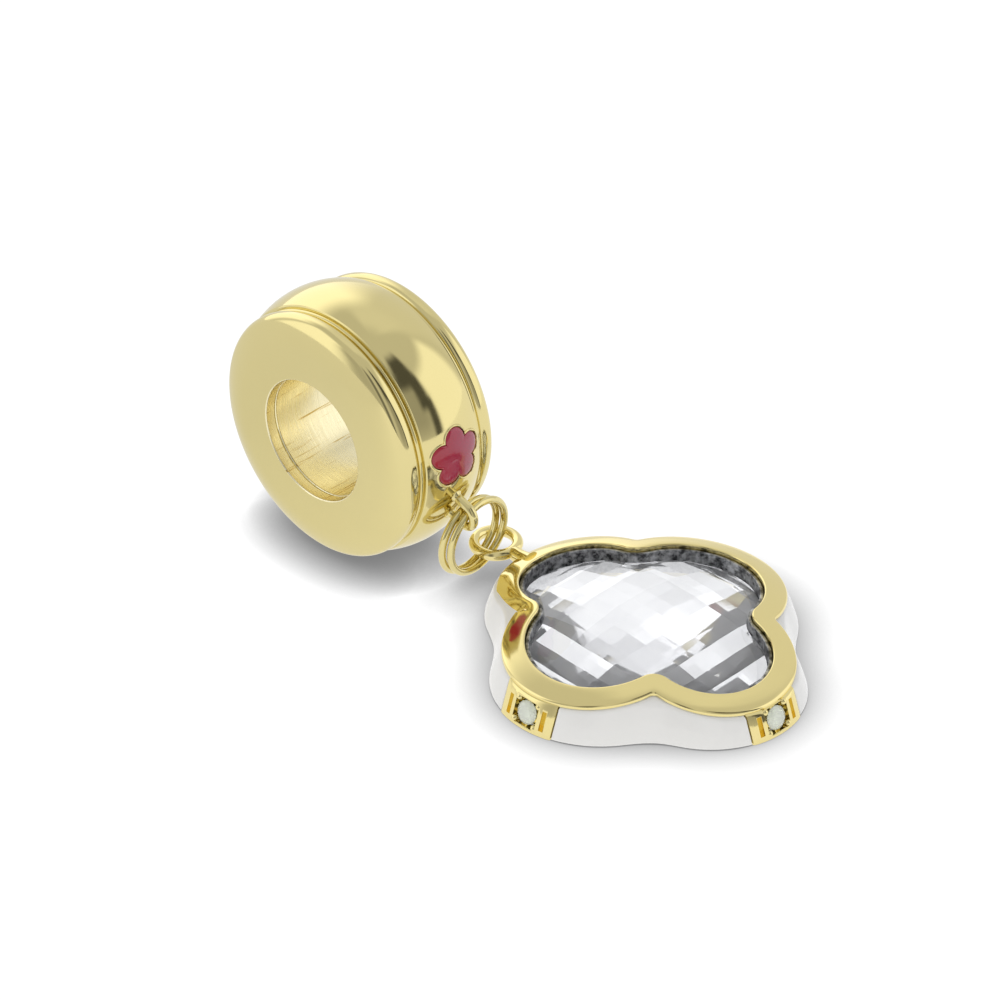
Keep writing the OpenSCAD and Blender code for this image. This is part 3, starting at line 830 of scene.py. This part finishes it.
def buildLining():
    f, g = clover, lining
    out, inside = -f["gap"], -f["gap"] - g["wallT"]
    under, inFloor = f["backT"] + f["gap"], f["backT"] + f["gap"] + g["wallT"]

    def topAt(c, grow, drop):
        p = wellAt(c, grow)
        return Vector((p.x, p.y, domeAt(p, drop)))

    def innerWall(c, step):
        top = topAt(c, inside, g["topDrop"])
        z = top.z + (inFloor - top.z) * step / g["steps"]
        lump = noise.noise(Vector((top.x, top.y, z)) * g["lumpsPerMm"]) if 0 < step < g["steps"] else 0.0
        p = wellAt(c, inside - abs(lump * g["roughness"]))
        return Vector((p.x, p.y, z))

    rows = [lambda c, s=s: wellPoint(c, out, under, s) for s in (0, 0.5, 1)]
    rows += [lambda c: topAt(c, out, g["topDrop"]),
             lambda c: topAt(c, out - g["edgeR"], g["topDrop"] - g["edgeR"]),
             lambda c: topAt(c, inside + g["edgeR"], g["topDrop"] - g["edgeR"])]
    rows += [lambda c, k=k: innerWall(c, k) for k in range(g["steps"] + 1)]
    rows += [lambda c, s=s: wellPoint(c, inside, inFloor, s) for s in (0.5, 0)]
    bm = mirrored(mappedGrid(quarterColumns, len(rows) - 1, lambda i, j: rows[j](i)), "XY")
    bm.transform(Matrix.Translation(f["centre"]))
    return bm


makePiece("well_lining_cast", buildLining(), [liningGrey], ["well_lining"], 40)


# Main stone: chequered crown, cut as the solid's is, over a foiled back with low ridges

stone = {
    "topZ": 2.2, "backZ": 0.62, "inset": 0.2, "blankH": 2,
    # crown: distance from the middle at which a row of facets ends, its slope
    "cuts": [(0.75, 0.0), (2.4, 0.16), (4.1, 0.3), (7.0, 0.45)],
    # back: distance from the middle, height
    "ridges": [(0.0, 0.0), (0.75, 0.0), (2.4, 0.14), (3.25, 0.0), (4.1, 0.14), (4.8, 0.0), (7.0, 0.0)],
}


def fallAt(x):
    # Fall of the crown at a distance from the middle
    x, fall, before = abs(x), 0.0, 0.0
    for cut, slope in stone["cuts"]:
        if x > before:
            fall += (min(x, cut) - before) * slope
        before = cut
    return fall


def ridgeAt(x):
    # Height of the back's ridge at a distance from the middle
    for (near, low), (far, high) in zip(stone["ridges"], stone["ridges"][1:]):
        if abs(x) <= far:
            return low + (high - low) * (abs(x) - near) / (far - near)
    return 0.0


def buildStone():
    quarter = [wellAt(c, -stone["inset"]) for c in range(quarterColumns + 1)]
    whole = quarter + [Vector((-p.x, p.y)) for p in quarter[-2::-1]] + [-p for p in quarter[1:]]
    whole += [Vector((p.x, -p.y)) for p in quarter[-2:0:-1]]
    bm = bmesh.new()
    face = bm.faces.new([bm.verts.new((p.x, p.y, stone["backZ"])) for p in whole])
    top = bmesh.ops.extrude_face_region(bm, geom=[face])["geom"]
    topVerts = [v for v in top if isinstance(v, bmesh.types.BMVert)]
    bmesh.ops.translate(bm, vec=(0, 0, stone["blankH"]), verts=topVerts)
    bmesh.ops.recalc_face_normals(bm, faces=bm.faces)
    for cut, _ in stone["ridges"][1:-1]:
        for sign in (-1, 1):
            for normal in ((1, 0, 0), (0, 1, 0)):
                bmesh.ops.bisect_plane(bm, geom=bm.verts[:] + bm.edges[:] + bm.faces[:],
                                       plane_co=Vector(normal) * cut * sign, plane_no=normal, dist=0.0001)
    for v in bm.verts:
        if v.co.z > stone["blankH"]:
            v.co.z = stone["topZ"] - fallAt(v.co.x) - fallAt(v.co.y)
        else:
            v.co.z = stone["backZ"] + ridgeAt(v.co.x) + ridgeAt(v.co.y)
    bm.normal_update()
    for face in bm.faces:
        face.material_index = 1 if face.normal.z < -0.3 else 0
    bm.transform(Matrix.Translation(clover["centre"]))
    return bm


makePiece("clover_stone_crystal", buildStone(), [crystal, foil], ["clover_stone"], 0)


# Side stones: a round cut with table, crown, girdle and pavilion

sideStone = {
    "r": 0.47, "sunk": 0.13,
    # share of the radius, height, corners, turn in corners
    "rings": [(0.56, 0.15, 8, 0), (0.8, 0.095, 8, 0.5), (1.0, 0.012, 16, 0), (1.0, -0.012, 16, 0),
              (0.5, -0.2, 8, 0.5), (0.06, -0.32, 8, 0)],
}


def buildSideStone(turnDeg):
    bm = bmesh.new()
    for share, height, count, shift in sideStone["rings"]:
        ring = bmesh.ops.create_circle(bm, segments=count, radius=sideStone["r"] * share)["verts"]
        turn = Matrix.Rotation(2 * math.pi / count * shift, 3, "Z")
        bmesh.ops.rotate(bm, cent=(0, 0, 0), matrix=turn, verts=ring)
        bmesh.ops.translate(bm, vec=(0, 0, height), verts=ring)
    bmesh.ops.convex_hull(bm, input=bm.verts[:])
    bmesh.ops.delete(bm, geom=[e for e in bm.edges if not e.link_faces], context="EDGES")
    bmesh.ops.dissolve_limit(bm, angle_limit=0.02, verts=bm.verts[:], edges=bm.edges[:])
    bmesh.ops.recalc_face_normals(bm, faces=bm.faces)
    for face in bm.faces:
        face.material_index = 1 if face.normal.z < -0.2 else 0
    bm.transform(atTip(turnDeg) @ Matrix.Translation((-sideStone["sunk"], 0, setting["pocketZ"]))
                 @ Matrix.Rotation(math.radians(90), 4, "Y"))
    return bm


for name, turnDeg in tips.items():
    makePiece("side_stone_" + name + "_cut", buildSideStone(turnDeg), [sideCrystal, sideFoil],
              ["side_stone_" + name], 0)
print("pieces made")


# Studio: lit white table in an evenly light room with softboxes, and dim behind the camera

tableTop = bmesh.new()
bmesh.ops.create_grid(tableTop, x_segments=4, y_segments=4, size=1.5)
tableMesh = bpy.data.meshes.new("table_top")
tableTop.to_mesh(tableMesh)
tableTop.free()
floor = bpy.data.objects.new("table_top", tableMesh)
bpy.context.scene.collection.objects.link(floor)


def litTable(name):
    # Shooting table of white acrylic, lit from below: pure white to the eye, but for a soft shadow close to the charm
    material, tree, coords = newMaterial(name)
    near = addNode(tree, "ShaderNodeAmbientOcclusion", {"Distance": 1.9 * mm}, samples=16)
    shade = addNode(tree, "ShaderNodeMath", {0: near.outputs["AO"], 1: 2.1}, operation="POWER")
    tooth = addNode(tree, "ShaderNodeTexNoise", {"Vector": coords, "Scale": perMm(3.0), "Detail": 3.0})
    mottle = addNode(tree, "ShaderNodeMapRange", {"Value": tooth.outputs["Fac"], "To Min": 0.86, "To Max": 0.88})
    glow = addNode(tree, "ShaderNodeMath", {0: shade.outputs[0], 1: mottle.outputs[0], 2: 0.2},
                   operation="MULTIPLY_ADD")
    plainView = addNode(tree, "ShaderNodeEmission", {"Strength": glow.outputs[0]})
    along = addNode(tree, "ShaderNodeSeparateXYZ", {"Vector": coords}).outputs["X"]
    dimmer = addNode(tree, "ShaderNodeMapRange", {
        "Value": along, "From Min": -16 * mm, "From Max": -2 * mm, "To Min": 0.58, "To Max": 0.76,
    })
    # What the charm mirrors of it is dimmer, most so at the left
    mirroredView = addNode(tree, "ShaderNodeBsdfPrincipled", {
        "Base Color": (0.32, 0.32, 0.32, 1), "Roughness": 0.9, "Specular IOR Level": 0.1,
        "Emission Color": (1, 1, 1, 1), "Emission Strength": dimmer.outputs[0],
    })
    seen = addNode(tree, "ShaderNodeLightPath").outputs["Is Camera Ray"]
    closeMaterial(tree, addNode(tree, "ShaderNodeMixShader", {
        0: seen, 1: mirroredView.outputs[0], 2: plainView.outputs[0],
    }))
    return material


tableMesh.materials.append(litTable("lit_white_acrylic"))

world = bpy.data.worlds.new("studio")
bpy.context.scene.world = world
world.use_nodes = True
tree = world.node_tree
tree.nodes.clear()
direction = addNode(tree, "ShaderNodeTexCoord").outputs["Generated"]


def patch(before, azimuth, elevation, halfWidth, halfHeight, soft, strength):
    # A soft-edged rectangle of that brightness over what is there; angles in degrees, azimuth from +X to +Y
    turned = addNode(tree, "ShaderNodeVectorRotate", {"Vector": direction, "Angle": math.radians(-azimuth)},
                     rotation_type="Z_AXIS")
    parts = addNode(tree, "ShaderNodeSeparateXYZ", {"Vector": turned.outputs[0]})
    around = addNode(tree, "ShaderNodeMath", {0: parts.outputs["Y"], 1: parts.outputs["X"]}, operation="ARCTAN2")
    up = addNode(tree, "ShaderNodeMath", {0: parts.outputs["Z"]}, operation="ARCSINE")
    off = addNode(tree, "ShaderNodeMath", {0: up.outputs[0], 1: math.radians(elevation)}, operation="SUBTRACT")
    masks = []
    for value, half in ((around, halfWidth), (off, halfHeight)):
        size = addNode(tree, "ShaderNodeMath", {0: value.outputs[0]}, operation="ABSOLUTE")
        masks.append(addNode(tree, "ShaderNodeMapRange", {
            "Value": size.outputs[0], "From Min": math.radians(half - soft), "From Max": math.radians(half + soft),
            "To Min": 1.0, "To Max": 0.0,
        }, interpolation_type="SMOOTHSTEP"))
    mask = addNode(tree, "ShaderNodeMath", {0: masks[0].outputs[0], 1: masks[1].outputs[0]}, operation="MULTIPLY")
    return addNode(tree, "ShaderNodeMix", {0: mask.outputs[0], 2: before, 3: strength}, data_type="FLOAT").outputs[0]


room = addNode(tree, "ShaderNodeValue")
room.outputs[0].default_value = 0.83
light = room.outputs[0]
for spec in (
    # azimuth, elevation, half width, half height, softness, brightness
    (120, 58, 34, 20, 10, 1.05),    # upper half of the white card behind the pendant
    (125, 20, 42, 30, 12, 1.0),     # lower half
    (165, 14, 30, 30, 12, 1.8),     # far softbox behind the bead
    (-132, 22, 20, 28, 8, 1.6),     # left softbox
    (48, 18, 28, 28, 6, 1.5),       # right softbox
    (-8, 28, 22, 26, 14, 0.5),      # dim room behind the camera
    (0, 56, 18, 14, 5, 0.12),       # the camera, its arm and its stand, in black
    (11, 36, 8, 14, 4, 0.12),
    (16, 12, 5, 16, 3, 0.12),
    (-66, 22, 10, 30, 6, 0.25),     # dark flag at the camera's left
    (-94, 22, 12, 24, 6, 0.65),     # grey wall
):
    light = patch(light, *spec)
rays = addNode(tree, "ShaderNodeLightPath")
# Inside the stones the room is brighter and flatter, and matt surfaces get an even light
inStone = addNode(tree, "ShaderNodeMath", {0: light, 1: 0.85, 2: 0.65}, operation="MULTIPLY_ADD").outputs[0]
for ray, seen in (("Is Transmission Ray", inStone), ("Is Diffuse Ray", 0.95)):
    light = addNode(tree, "ShaderNodeMix", {0: rays.outputs[ray], 2: light, 3: seen}, data_type="FLOAT").outputs[0]
lit = addNode(tree, "ShaderNodeBackground", {"Strength": light})
plain = addNode(tree, "ShaderNodeBackground", {"Color": (1, 1, 1, 1), "Strength": 1.0})
backdrop = addNode(tree, "ShaderNodeMixShader", {
    0: rays.outputs["Is Camera Ray"], 1: lit.outputs[0], 2: plain.outputs[0],
})
addNode(tree, "ShaderNodeOutputWorld", {"Surface": backdrop.outputs[0]})

scene = bpy.context.scene
scene.view_settings.view_transform = "Standard"
scene.view_settings.look = "None"

cameraSetup = {"target": Vector((-1.5517, -0.2995, 3.5493)), "eye": Vector((143.2553, -145.1065, 146.9434)),
               "lens": 237.6, "sensor": 36}
cameraData = bpy.data.cameras.new("camera")
cameraData.lens = cameraSetup["lens"]
cameraData.sensor_width = cameraSetup["sensor"]
cameraData.clip_start = 0.01
camera = bpy.data.objects.new("camera", cameraData)
camera.location = cameraSetup["eye"] * mm
camera.rotation_euler = (cameraSetup["target"] - cameraSetup["eye"]).to_track_quat("-Z", "Y").to_euler()
scene.collection.objects.link(camera)
scene.camera = camera
print("studio made")
